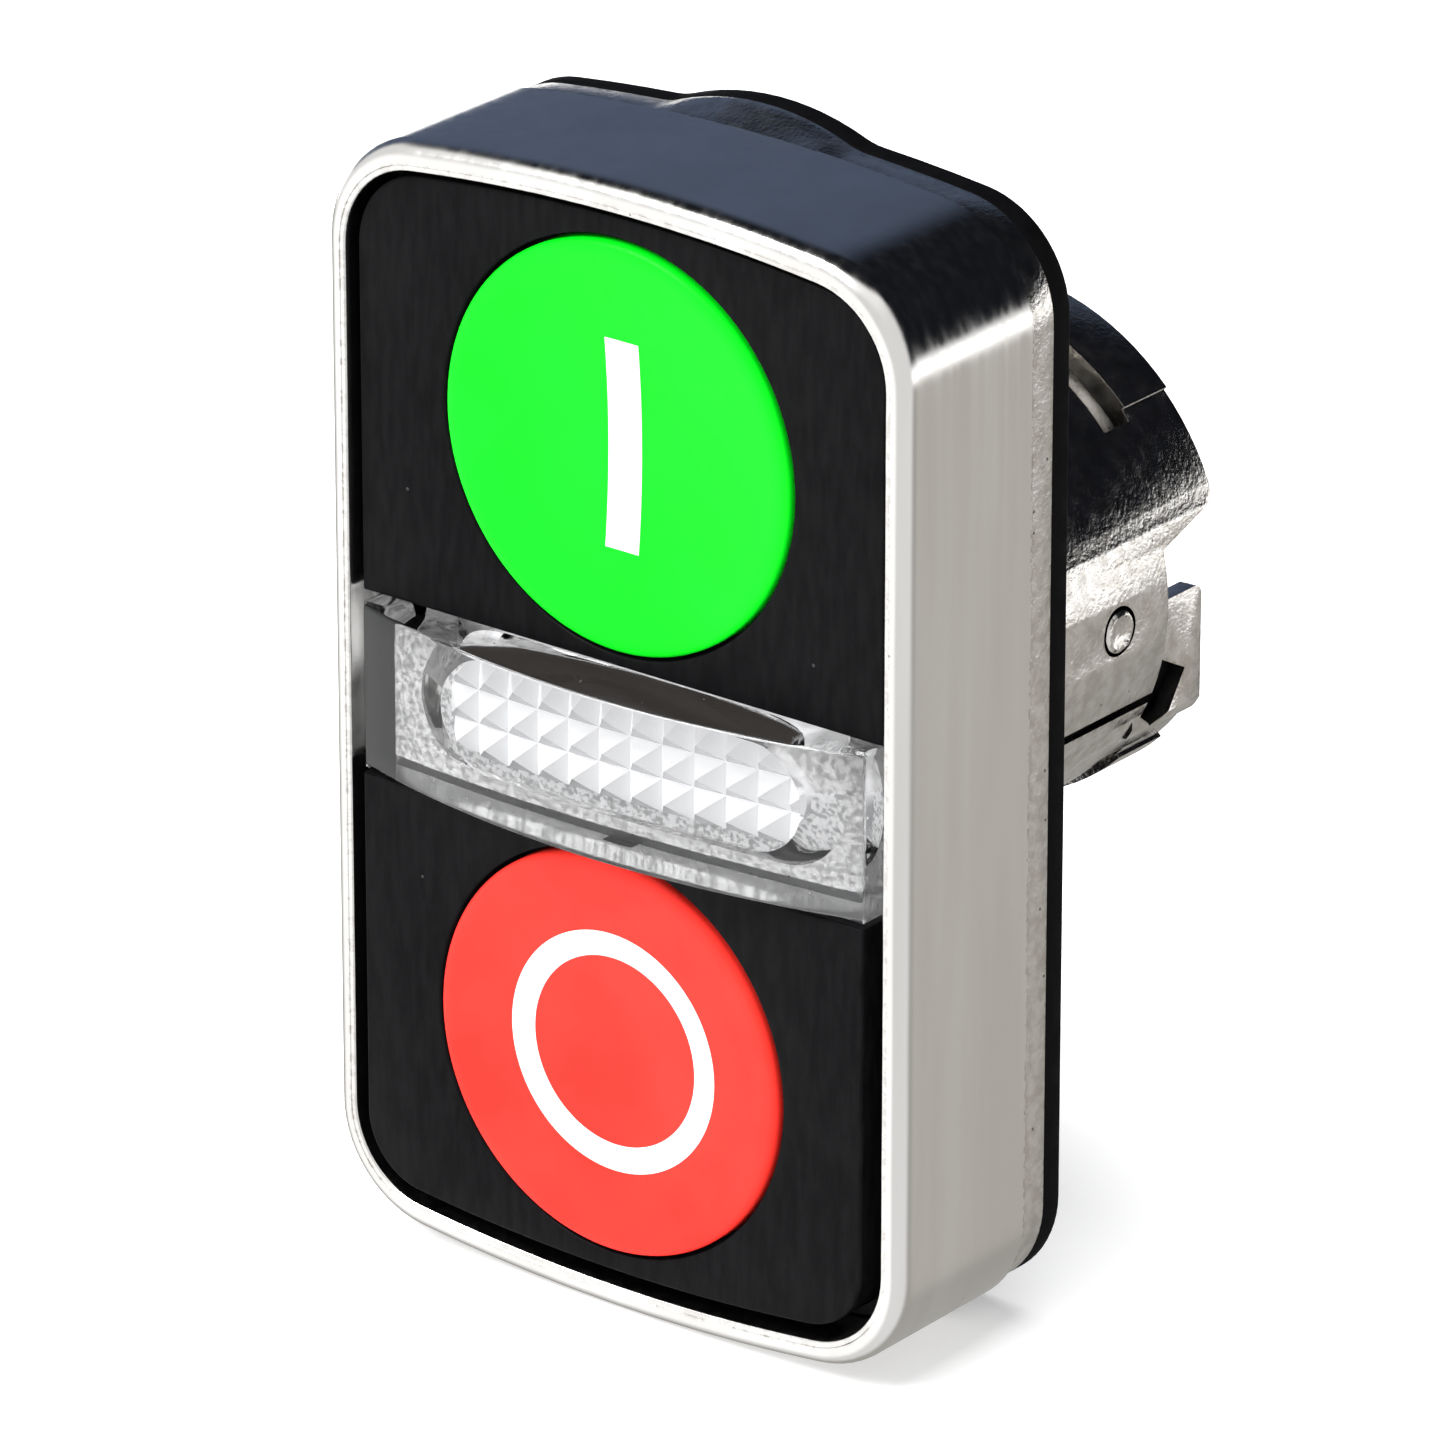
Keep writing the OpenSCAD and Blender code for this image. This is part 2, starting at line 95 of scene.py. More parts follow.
def use(tree, group, **numbers):
    """Places a node group in a material."""
    node = add(tree, "ShaderNodeGroup", node_tree=group)
    for name, value in numbers.items():
        node.inputs[name].default_value = value
    return node


def new_material(name, **plain):
    """Starts a material, with the sockets that are the same all over."""
    material = bpy.data.materials.new(name)
    material.use_nodes = True
    shader = material.node_tree.nodes["Principled BSDF"]
    for socket, value in plain.items():
        shader.inputs[socket.replace("_", " ")].default_value = value
    return material, material.node_tree, shader


def blend_colours(tree, mask, first, second):
    """Blends two colours, each a colour or a socket, by a mask from 0 to 1."""
    node = add(tree, "ShaderNodeMix", data_type="RGBA")
    tree.links.new(mask, node.inputs[0])
    for index, colour in ((6, first), (7, second)):
        if isinstance(colour, bpy.types.NodeSocket):
            tree.links.new(colour, node.inputs[index])
        else:
            node.inputs[index].default_value = (*colour, 1)
    return node.outputs[2]


def spread(tree, value, low, high, to_low, to_high):
    """Takes a value from one range to another."""
    return add(tree, "ShaderNodeMapRange", {
        "Value": value, "From Min": low, "From Max": high, "To Min": to_low, "To Max": to_high
    }).outputs["Result"]


def bump(tree, shader, height, depth, strength):
    """Raises a shader's surface by a height map."""
    node = add(tree, "ShaderNodeBump", {"Height": height, "Strength": strength, "Distance": depth})
    tree.links.new(node.outputs["Normal"], shader.inputs["Normal"])


# Cloudy grain, which can be drawn out along an axis
grain, into, out = new_group(
    "grain", {"Scale": 500.0, "Detail": 3.0, "Stretch": (1, 1, 1)}, ["Value"])
place = add(grain, "ShaderNodeTexCoord")
stretched = add(grain, "ShaderNodeVectorMath", {
    0: place.outputs["Object"], 1: into.outputs["Stretch"]}, operation="MULTIPLY")
clouds = add(grain, "ShaderNodeTexNoise", {
    "Vector": stretched.outputs[0], "Scale": into.outputs["Scale"],
    "Detail": into.outputs["Detail"]})
grain.links.new(clouds.outputs["Fac"], out.inputs["Value"])

# Small round spots, such as pits or dust, of which only a share shows
spots, into, out = new_group("spots", {"Scale": 900.0, "Size": 0.2, "Share": 0.2}, ["Mask"])
place = add(spots, "ShaderNodeTexCoord")
cells = add(spots, "ShaderNodeTexVoronoi", {
    "Vector": place.outputs["Object"], "Scale": into.outputs["Scale"]})
inside = add(spots, "ShaderNodeMath", {
    0: cells.outputs["Distance"], 1: into.outputs["Size"]}, operation="LESS_THAN")
pick = add(spots, "ShaderNodeSeparateColor", {"Color": cells.outputs["Color"]})
chosen = add(spots, "ShaderNodeMath", {0: pick.outputs[0], 1: into.outputs["Share"]},
             operation="LESS_THAN")
both = add(spots, "ShaderNodeMath", {0: inside.outputs[0], 1: chosen.outputs[0]},
           operation="MULTIPLY")
spots.links.new(both.outputs[0], out.inputs["Mask"])

# Rubbed edges, broken up by grain
rubbed, into, out = new_group("rubbed_edge", {"Reach": 0.0003, "Breakup": 2500.0}, ["Mask"])
corner = add(rubbed, "ShaderNodeBevel", {"Radius": into.outputs["Reach"]}, samples=4)
shape = add(rubbed, "ShaderNodeNewGeometry")
turn = add(rubbed, "ShaderNodeVectorMath", {
    0: corner.outputs[0], 1: shape.outputs["Normal"]}, operation="DOT_PRODUCT")
place = add(rubbed, "ShaderNodeTexCoord")
broken = add(rubbed, "ShaderNodeTexNoise", {
    "Vector": place.outputs["Object"], "Scale": into.outputs["Breakup"], "Detail": 4.0})
edge = spread(rubbed, turn.outputs["Value"], 0.995, 0.90, 0.0, 1.0)
patchy = spread(rubbed, broken.outputs["Fac"], 0.48, 0.60, 0.0, 1.0)
product = add(rubbed, "ShaderNodeMath", {0: edge, 1: patchy}, operation="MULTIPLY")
rubbed.links.new(product.outputs[0], out.inputs["Mask"])

plated_tail, tree, shader = new_material("plated_tail", Metallic=1.0)
skin = use(tree, grain, Scale=1300.0, Detail=6.0)
fine_skin = use(tree, grain, Scale=5200.0, Detail=3.0)
pits = use(tree, spots, Scale=1900.0, Size=0.14, Share=0.06)
wear = use(tree, rubbed, Reach=0.25 * mm, Breakup=2600.0)
patches = use(tree, grain, Scale=1500.0, Detail=8.0)
# painted shade: ambient occlusion darkens the recesses, round the pin, in the groove and at the
# hook, to near black, as shade would fall there
recess_occlusion = add(tree, "ShaderNodeAmbientOcclusion", {"Distance": 1.3 * mm}, samples=6)
recess_shade_mask = spread(tree, recess_occlusion.outputs["AO"], 0.42, 0.80, 1, 0)
metal = blend_colours(tree, spread(tree, patches.outputs[0], 0.40, 0.62, 0, 1),
                      (0.75, 0.73, 0.70), (0.60, 0.575, 0.535))
stained = blend_colours(tree, spread(tree, wear.outputs[0], 0, 1, 0, 0.75), metal,
                        (0.26, 0.19, 0.13))
pitted = blend_colours(tree, pits.outputs[0], stained, (0.22, 0.20, 0.18))
recess_shaded = blend_colours(tree, recess_shade_mask, pitted, (0.012, 0.010, 0.009))
tree.links.new(recess_shaded, shader.inputs["Base Color"])
tree.links.new(spread(tree, skin.outputs[0], 0.3, 0.7, 0.12, 0.26), shader.inputs["Roughness"])
heights = add(tree, "ShaderNodeMath", {0: skin.outputs[0], 1: fine_skin.outputs[0]},
              operation="ADD")
bump(tree, shader, heights.outputs[0], 0.035 * mm, 0.55)

# Faces that meet at more than this, in radians, have a crisp edge
crisp = 0.6


def new_piece(name, bm, material, body, node):
    """Makes a named piece from its mesh, which rides on a body and stands for a CAD node."""
    bmesh.ops.recalc_face_normals(bm, faces=bm.faces)
    mesh = bpy.data.meshes.new(name)
    bm.to_mesh(mesh)
    bm.free()
    mesh.shade_smooth()
    mesh.set_sharp_from_angle(angle=crisp)
    piece = bpy.data.objects.new(name, mesh)
    bpy.context.scene.collection.objects.link(piece)
    mesh.materials.append(material)
    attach(piece, body)
    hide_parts(node)
    return piece


def plain_copy(node):
    """A copy of a CAD piece's mesh, with its flat faces whole."""
    bm = bmesh.new()
    bm.from_mesh(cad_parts[node].data)
    bmesh.ops.remove_doubles(bm, verts=bm.verts, dist=0.002 * mm)
    bmesh.ops.dissolve_limit(bm, angle_limit=0.01, verts=bm.verts, edges=bm.edges,
                             delimit={"NORMAL"})
    return bm


def ease(bm, width, chosen, segments=2):
    """Rounds the sharp edges that are chosen, as casting and moulding leave them."""
    sharp = [e for e in bm.edges
             if len(e.link_faces) == 2 and e.calc_face_angle(0) > crisp and chosen(e)]
    bmesh.ops.bevel(bm, geom=sharp, offset=width, segments=segments, profile=0.5,
                    affect="EDGES", clamp_overlap=True)


bezel_low, bezel_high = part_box("bezel_frame")
mid_z = (bezel_low.z + bezel_high.z) / 2
end_bow = 90 * mm        # radius of the bezel's bowed ends
flange_step = 0.25 * mm  # how far the flange stands in from the bezel
flange_y = bezel_high.y
gasket_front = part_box("panel_gasket")[0].y
tip_x, tip_y = 6 * mm, 15.6 * mm
hump_half, fade_start, fade_len = 9 * mm, 6.5 * mm, 2.5 * mm
ramp_len, ramp_cuts = 1.45 * mm, 6
cast_edge = 0.09 * mm
hair = 0.01 * mm         # two places closer than this are the same


def tips_between(low, high):
    """Chooses the edges at the tail's end, right of its axis, between two heights."""
    def on_tail_tip(edge):
        one, two = (v.co for v in edge.verts)
        along = (two - one).normalized()
        return abs(along.x) > 0.95 and one.x > tip_x and one.y > tip_y and low < one.z < high
    return on_tail_tip


def hump_above(v):
    """How far a point of the hump stands above the bezel, less the step as it fades in."""
    arc = bezel_high.z - end_bow + math.sqrt(end_bow ** 2 - v.x ** 2)
    step = flange_step * min(max((abs(v.x) - fade_start) / fade_len, 0), 1)
    return max(v.z - arc - step, 0) if abs(v.x) < hump_half else 0


def over_edge(edge):
    """Chooses the edges that run back over the flange's edge at the hump."""
    one, two = sorted((v.co for v in edge.verts), key=lambda c: c.y)
    return (abs(one.y - flange_y) < hair and abs(two.y - gasket_front) < hair
            and hump_above(one) > hair and hump_above(two) > hair)


bm = plain_copy("mounting_body")
# the tips at the tail's end: how low and high each lies, and its radius, in millimetres
for low_z, high_z, radius in ((2, 6, 0.75), (-1, 0, 0.5), (-7, -5, 0.5)):
    ease(bm, radius * mm, tips_between(low_z * mm, high_z * mm), segments=5)
# the hump rises in a slope from the flange's front
bmesh.ops.subdivide_edges(bm, edges=[e for e in bm.edges if over_edge(e)], cuts=ramp_cuts)
for v in bm.verts:
    if flange_y - hair < v.co.y < gasket_front + hair:
        left = max(1 - (v.co.y - flange_y) / ramp_len, 0)
        v.co.z -= hump_above(v.co) * left
ease(bm, cast_edge, lambda edge: True)
new_piece("cast_body", bm, plated_tail, "head", "mounting_body")

# ---- Tail insert, pin and light guide ------------------------------------------------------
# A black moulded disc closes the tail, guides the push tongues and holds the clear light guide.
# A steel pin, peened over on the right of the tail, keeps it in place.
inner_black, tree, shader = new_material("inner_black", Specular_IOR_Level=0.1)
moulded = use(tree, grain, Scale=900.0, Detail=4.0)
soot = blend_colours(tree, moulded.outputs[0], (0.003, 0.003, 0.0033), (0.007, 0.007, 0.0075))
tree.links.new(soot, shader.inputs["Base Color"])
tree.links.new(spread(tree, moulded.outputs[0], 0.3, 0.7, 0.4, 0.6), shader.inputs["Roughness"])
bump(tree, shader, moulded.outputs[0], 0.02 * mm, 0.4)

# a block on the disc fills the hook notch from behind, so it is made taller, longer and wider
bm = plain_copy("tail_insert")
block_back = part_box("tail_insert")[1].y
block_len, block_inside, block_outside = 4.5 * mm, 4.5 * mm, 5 * mm
block_top, block_foot = -3.6 * mm, -6.2 * mm
taller_top, further_back, wider_side = -2.25 * mm, 1.15 * mm, 8.7 * mm
near = 5 * hair
for v in bm.verts:
    on_block = v.co.x > block_inside and v.co.y > block_back - block_len
    if on_block and abs(v.co.z - block_top) < near:
        v.co.z = taller_top
    if v.co.y > block_back - near:
        v.co.y += further_back
        if v.co.x > block_outside and v.co.z > block_foot:
            v.co.x = wider_side
new_piece("closing_disc", bm, inner_black, "head", "tail_insert")


def give_material(node, material):
    """Gives a CAD piece, whose shape is right as it is, its material."""
    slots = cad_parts[node].data.materials
    slots.clear()
    slots.append(material)


for node in ("green_plunger", "red_plunger", "carrier_frame"):
    give_material(node, inner_black)


def turned(profile, sides, place):
    """Turns a profile of (radius, distance along) round an axis. place takes a point's (across,
    up, along) to where it lies in the head."""
    bm = bmesh.new()
    rows = []
    for radius, along in profile:
        count = 1 if radius < 1e-9 else sides
        rows.append([bm.verts.new(place(radius * math.cos(math.tau * i / sides),
                                        radius * math.sin(math.tau * i / sides), along))
                     for i in range(count)])
    for one, two in zip(rows, rows[1:]):
        for i in range(sides):
            j = (i + 1) % sides
            corners = [one[i % len(one)], one[j % len(one)], two[j % len(two)], two[i % len(two)]]
            unique = list(dict.fromkeys(corners))
            if len(unique) > 2:
                bm.faces.new(unique)
    return bm


pin_low, pin_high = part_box("insert_pin")
pin_r = (pin_high.z - pin_low.z) / 2
pin_len = pin_high.x - pin_low.x
pin_y = (pin_low.y + pin_high.y) / 2
dent_size, dent_depth = 0.45 * mm, 0.05 * mm


def on_pin(across, up, along):
    """Lays the pin across the tail, with its outer end dented by the hammer."""
    dent = noise.noise(Vector((across, up, 0)) / dent_size) * dent_depth
    return pin_low.x + along + (dent if along > pin_len / 2 else 0), pin_y + across, up


pin_profile = [(0, 0), (pin_r * 0.9, 0), (pin_r, 0.1 * mm), (pin_r, pin_len - 0.12 * mm),
               (pin_r * 0.93, pin_len - 0.04 * mm), (pin_r * 0.8, pin_len),
               (pin_r * 0.6, pin_len - 0.05 * mm), (pin_r * 0.3, pin_len - 0.12 * mm),
               (0, pin_len - 0.13 * mm)]
new_piece("peened_pin", turned(pin_profile, 36, on_pin), plated_tail, "head",
          "insert_pin")

guide_clear, tree, shader = new_material(
    "guide_clear", Transmission_Weight=1.0, IOR=1.49, Base_Color=(0.95, 0.97, 0.98, 1))
haze = use(tree, grain, Scale=700.0, Detail=3.0)
tree.links.new(spread(tree, haze.outputs[0], 0.3, 0.7, 0.06, 0.16), shader.inputs["Roughness"])
give_material("light_guide", guide_clear)

# ---- Panel gasket --------------------------------------------------------------------------
# A flat gasket of soft black rubber behind the flange, with the same outline and hump, punched
# from sheet and pulled over the tail's shoulder.
rubber, tree, shader = new_material("gasket_rubber", Specular_IOR_Level=0.06)
sheet = use(tree, grain, Scale=1200.0, Detail=5.0)
lint = use(tree, spots, Scale=1400.0, Size=0.10, Share=0.05)
shade = blend_colours(tree, sheet.outputs[0], (0.0012, 0.0012, 0.0015), (0.004, 0.004, 0.0045))
tree.links.new(blend_colours(tree, lint.outputs[0], shade, (0.03, 0.03, 0.03)),
               shader.inputs["Base Color"])
tree.links.new(spread(tree, sheet.outputs[0], 0.3, 0.7, 0.6, 0.85), shader.inputs["Roughness"])
bump(tree, shader, sheet.outputs[0], 0.03 * mm, 0.5)
punched_edge = 0.12 * mm
bm = plain_copy("panel_gasket")
ease(bm, punched_edge, lambda edge: True)
new_piece("rubber_gasket", bm, rubber, "head", "panel_gasket")

# ---- Springs and spring plate --------------------------------------------------------------
# Each button has a return spring of round steel wire, which stands on a pressed plate behind the
# carrier.
steel, tree, shader = new_material("spring_steel", Metallic=1.0)
drawn = use(tree, grain, Scale=2500.0, Detail=2.0)
tree.links.new(blend_colours(tree, drawn.outputs[0], (0.60, 0.58, 0.55), (0.42, 0.40, 0.38)),
               shader.inputs["Base Color"])
tree.links.new(spread(tree, drawn.outputs[0], 0.3, 0.7, 0.22, 0.4), shader.inputs["Roughness"])
give_material("spring_plate", steel)

# the wire's radius, the turns, and the points along each turn and round the wire
wire, turns, per_turn, sides = 0.2 * mm, 4.5, 32, 10
steps = int(turns * per_turn)


def join_rings(bm, rings):
    """Joins each closed ring of points to the next with faces."""
    for one, two in zip(rings, rings[1:]):
        for i in range(len(one)):
            j = (i + 1) % len(one)
            bm.faces.new((one[i], one[j], two[j], two[i]))


for colour in ("green", "red"):
    low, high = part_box(f"{colour}_spring")
    coil = (high.x - low.x) / 2 - wire
    middle_z = (low.z + high.z) / 2
    bm = bmesh.new()
    rings = []
    for i in range(steps + 1):
        a = math.tau * i / per_turn
        y = low.y + wire + (high.y - low.y - 2 * wire) * i / steps
        ring = []
        for k in range(sides):
            b = math.tau * k / sides
            r = coil + wire * math.cos(b)
            ring.append(bm.verts.new((r * math.cos(a), y + wire * math.sin(b),
                                      middle_z + r * math.sin(a))))
        rings.append(ring)
    join_rings(bm, rings)
    bm.faces.new(reversed(rings[0]))
    bm.faces.new(rings[-1])
    spring = new_piece(f"{colour}_return_spring", bm, steel, "head",
                       f"{colour}_spring")
    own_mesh(spring)

# ---- Diffuser and its holder ---------------------------------------------------------------
# A white plate with rows of small pyramids, set in a pale holder behind the lens, spreads the
# lamp's light over the lens. Both glow a little with painted light, and the pyramids' facets are
# painted lit and shaded by which way they face.
# painted light: the pyramids glow a little in their own painted facet colours, to brighten them
# behind the lens
prism_white, tree, shader = new_material(
    "prism_white", IOR=1.49, Specular_IOR_Level=0.6, Emission_Strength=0.42)
milky = use(tree, grain, Scale=500.0, Detail=2.0)
# painted shade: facets facing right and down are painted shaded, the others lit, by which way they
# face
facing = add(tree, "ShaderNodeNewGeometry").outputs["Normal"]
turned_away = add(tree, "ShaderNodeVectorMath", {0: facing, 1: (0.55, 0.0, -0.83)},
                  operation="DOT_PRODUCT").outputs["Value"]
shaded = blend_colours(tree, milky.outputs[0], (0.30, 0.30, 0.31), (0.42, 0.42, 0.43))
lit = blend_colours(tree, milky.outputs[0], (0.95, 0.95, 0.96), (1.0, 1.0, 1.0))
painted_facet_light = blend_colours(tree, spread(tree, turned_away, 0.25, 0.6, 0, 1), lit, shaded)
tree.links.new(painted_facet_light, shader.inputs["Base Color"])
tree.links.new(painted_facet_light, shader.inputs["Emission Color"])
tree.links.new(spread(tree, milky.outputs[0], 0.3, 0.7, 0.12, 0.22), shader.inputs["Roughness"])
give_material("diffuser", prism_white)

# painted light: the holder glows a little in the colours of its speckle
holder_grey, tree, shader = new_material(
    "holder_grey", Specular_IOR_Level=0.4, Emission_Strength=0.25)
speckle = use(tree, grain, Scale=4200.0, Detail=5.0)
speckle_and_painted_glow = blend_colours(tree, spread(tree, speckle.outputs[0], 0.40, 0.60, 0, 1),
                     (0.42, 0.42, 0.42), (0.98, 0.98, 0.98))
tree.links.new(speckle_and_painted_glow, shader.inputs["Base Color"])
tree.links.new(speckle_and_painted_glow, shader.inputs["Emission Color"])
tree.links.new(spread(tree, speckle.outputs[0], 0.3, 0.7, 0.35, 0.6), shader.inputs["Roughness"])
bump(tree, shader, speckle.outputs[0], 0.05 * mm, 0.6)
give_material("diffuser_holder", holder_grey)

# ---- Lens ----------------------------------------------------------------------------------
# A block of clear moulded acrylic between the buttons: bowed front, straight ends with two legs,
# and a flared recess in its frosted back that lets the pyramids stand close behind it.
lens_low, lens_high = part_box("lens")
lens_z = (lens_low.z + lens_high.z) / 2
lens_w = lens_high.x - lens_low.x
lens_h = lens_high.z - lens_low.z
lens_bow = 1.95 * mm
lens_back = lens_low.y + 4.9 * mm
bow_r = ((lens_w / 2) ** 2 + lens_bow ** 2) / (2 * lens_bow)
leg = 1.15 * mm
lens_edge, lens_draft = 0.13 * mm, 0.15 * mm
edge_steps, face_steps, length_steps, recess_steps = 3, 8, 56, 5


def inset(loop, d):
    """Moves each side of a closed outline, listed anticlockwise, inwards by d."""
    moved = []
    for i, here in enumerate(loop):
        before, after = loop[i - 1], loop[(i + 1) % len(loop)]
        ax, az = here[0] - before[0], here[1] - before[1]
        bx, bz = after[0] - here[0], after[1] - here[1]
        la, lb = math.hypot(ax, az), math.hypot(bx, bz)
        n1 = (-az / la, ax / la)
        n2 = (-bz / lb, bx / lb)
        k = d / (1 + n1[0] * n2[0] + n1[1] * n2[1])
        moved.append((here[0] + k * (n1[0] + n2[0]), here[1] + k * (n1[1] + n2[1])))
    return moved


def quarter(steps):
    """The steps of a quarter round, as the shares of its radius that are left and gone."""
    angles = [math.pi / 2 * i / steps for i in range(steps + 1)]
    return [(1 - math.sin(a), 1 - math.cos(a)) for a in angles]


def lens_section(x, d):
    """Outline of the block across its length, as (y, z) from the bottom of its back round the
    front to the top, drawn in by d; the front edges are eased."""
    y = lens_low.y + bow_r - math.sqrt(bow_r ** 2 - x ** 2) + d
    low, high = -lens_h / 2 + d, lens_h / 2 - d
    face_low, face_high = low + lens_draft, high - lens_draft
    face_h = face_high - face_low - 2 * lens_edge
    points = [(lens_back, low), (bezel_low.y, low)]
    points += [(y + lens_edge * left, face_low + lens_edge * gone)
               for left, gone in quarter(edge_steps)]
    points += [(y, face_low + lens_edge + face_h * i / face_steps) for i in range(1, face_steps)]
    points += [(y + lens_edge * left, face_high - lens_edge * gone)
               for left, gone in reversed(quarter(edge_steps))]
    return points + [(bezel_low.y, high), (lens_back, high)]


def join_rows(bm, rows):
    """Joins each open row of points to the next with faces."""
    for one, two in zip(rows, rows[1:]):
        for corners in zip(one, one[1:], two[1:], two):
            bm.faces.new(corners)


bm = bmesh.new()
half = lens_w / 2
ends = [(half - lens_edge * left, lens_edge * gone) for left, gone in quarter(edge_steps)]
middle_x = [-half + leg + (lens_w - 2 * leg) * i / length_steps for i in range(length_steps + 1)]
columns = [(-x, d) for x, d in reversed(ends)] + [(x, 0.0) for x in middle_x] + ends
rows = [[bm.verts.new((x, y, lens_z + z)) for y, z in lens_section(x, d)] for x, d in columns]
join_rows(bm, rows)
bm.faces.new(rows[0])
bm.faces.new(rows[-1])


def stadium(length, height, steps=20):
    """A slot's outline with round ends, anticlockwise."""
    r = height / 2
    points = []
    for side, start in ((1, -math.pi / 2), (-1, math.pi / 2)):
        for i in range(steps + 1):
            a = start + math.pi * i / steps
            points.append((side * (length / 2 - r) + r * math.cos(a), r * math.sin(a)))
    return points


def edges_round(bm, loop):
    """The edges round a closed loop of points, made where there are none."""
    return [bm.edges.get(pair) or bm.edges.new(pair) for pair in zip(loop, loop[1:] + loop[:1])]


# the legs' backs and inner sides
for side in (-1, 1):
    legs = [r for r in rows if side * r[0].co.x > half - leg - 0.1 * hair]
    backs = [[bm.verts.new((r[end].co.x, lens_high.y, r[end].co.z)) for end in (0, -1)]
             for r in legs]
    for (one, two), (b1, b2) in zip(zip(legs, legs[1:]), zip(backs, backs[1:])):
        for end, k in ((0, 0), (-1, 1)):
            bm.faces.new((one[end], two[end], b2[k], b1[k]))
        bm.faces.new((b1[0], b2[0], b2[1], b1[1]))
    for r, b in ((legs[0], backs[0]), (legs[-1], backs[-1])):
        bm.faces.new((r[0], r[-1], b[1], b[0]))

# the frosted back with its recess
mouth = stadium(20.9 * mm, 5.75 * mm)
floor_of_recess = stadium(18.0 * mm, 4.6 * mm)
recess_y = lens_back - 1.1 * mm
rims = []
for k in range(recess_steps + 1):
    t = k / recess_steps
    flare = t * t * (3 - 2 * t) * 0.35 + t * 0.65
    rims.append([bm.verts.new((ax + (bx - ax) * flare, lens_back + (recess_y - lens_back) * t,
                               lens_z + az + (bz - az) * flare))
                 for (ax, az), (bx, bz) in zip(mouth, floor_of_recess)])
join_rings(bm, rims)
bm.faces.new(rims[-1])
border = [r for r in rows if abs(r[0].co.x) < half - leg + 0.1 * hair]
outer = [r[0] for r in border] + [r[-1] for r in reversed(border)]
bmesh.ops.triangle_fill(bm, use_beauty=True,
                        edges=edges_round(bm, outer) + edges_round(bm, rims[0]))
bmesh.ops.remove_doubles(bm, verts=bm.verts, dist=0.1 * hair)
bm.normal_update()
for face in bm.faces:
    middle = face.calc_center_median()
    flat_back = abs(middle.y - lens_back) < 0.01 * hair and abs(middle.x) < half - leg
    front_edge = face.normal.y < -0.2 and face.normal.z > 0.2
    face.material_index = int(flat_back or front_edge)

clear_lens, tree, shader = new_material(
    "clear_lens", Transmission_Weight=1.0, IOR=1.49, Base_Color=(0.985, 0.99, 0.995, 1))
polish = use(tree, grain, Scale=420.0, Detail=3.0)
marks = use(tree, spots, Scale=2200.0, Size=0.12, Share=0.04)
smoothness = spread(tree, polish.outputs[0], 0.3, 0.7, 0.01, 0.05)
touched = add(tree, "ShaderNodeMath", {0: marks.outputs[0], 1: 0.3, 2: smoothness},
              operation="MULTIPLY_ADD")
tree.links.new(touched.outputs[0], shader.inputs["Roughness"])
bump(tree, shader, polish.outputs[0], 0.02 * mm, 0.25)

frosted, tree, shader = new_material(
    "frosted_back", Transmission_Weight=1.0, IOR=1.49, Base_Color=(0.97, 0.97, 0.97, 1))
etched = use(tree, grain, Scale=3600.0, Detail=4.0)
tree.links.new(spread(tree, etched.outputs[0], 0.3, 0.7, 0.25, 0.6), shader.inputs["Roughness"])
bump(tree, shader, etched.outputs[0], 0.06 * mm, 0.5)
lens = new_piece("clear_lens", bm, clear_lens, "head", "lens")
lens.data.materials.append(frosted)

# ---- Surrounds and seals -------------------------------------------------------------------
# Two black moulded plates, one round each button, with a fine upright grain. The lower one stands
# a little further forward. Each guides its cap, and a soft lip behind it keeps water out.
black_plastic, tree, shader = new_material("black_plastic", Specular_IOR_Level=0.06)
upright = use(tree, grain, Scale=2600.0, Detail=3.0, Stretch=(1, 1, 0.22))
clouded = use(tree, grain, Scale=160.0, Detail=3.0)
dust = use(tree, spots, Scale=900.0, Size=0.07, Share=0.05)
shade = blend_colours(tree, spread(tree, upright.outputs[0], 0.35, 0.65, 0, 1),
                      (0.0028, 0.0028, 0.0034), (0.0055, 0.0055, 0.0062))
dusty = blend_colours(tree, dust.outputs[0], shade, (0.045, 0.045, 0.045))
tree.links.new(dusty, shader.inputs["Base Color"])
tree.links.new(spread(tree, clouded.outputs[0], 0.35, 0.65, 0.38, 0.56), shader.inputs["Roughness"])
bump(tree, shader, upright.outputs[0], 0.025 * mm, 0.5)
corner_steps, bow_steps, hole_steps = 14, 28, 128


def barrel(w, h, corner, bow):
    """Outline with straight sides and bowed ends, anticlockwise from the right."""
    cx = w / 2 - corner
    reach = math.sqrt((bow - corner) ** 2 - cx ** 2)
    cz = h / 2 - bow + reach
    tangent = math.atan2(reach, cx)
    top = []
    for i in range(corner_steps + 1):
        a = tangent * i / corner_steps
        top.append((cx + corner * math.cos(a), cz + corner * math.sin(a)))
    for i in range(1, bow_steps):
        a = tangent + (math.pi - 2 * tangent) * i / bow_steps
        top.append((bow * math.cos(a), h / 2 - bow + bow * math.sin(a)))
    for i in range(corner_steps + 1):
        a = math.pi - tangent + tangent * i / corner_steps
        top.append((-cx + corner * math.cos(a), cz + corner * math.sin(a)))
    return top + [(-x, -z) for x, z in top]


def rounded_plate(outline, hole, y_face, y_back, eased):
    """A plate with a round hole, both eased at the front face."""
    bm = bmesh.new()
    layers = [(y_back, 0)] + [(y_face + eased * left, eased * gone) for left, gone in quarter(4)]
    walls = []
    for loop, way in ((outline, 1), (hole, -1)):
        rings = [[bm.verts.new((x, y, z)) for x, z in inset(loop, way * d)] for y, d in layers]
        join_rings(bm, rings)
        walls.append(rings)
    for layer in (0, -1):
        edges = [edge for rings in walls for edge in edges_round(bm, rings[layer])]
        bmesh.ops.triangle_fill(bm, use_beauty=True, edges=edges)
    return bm


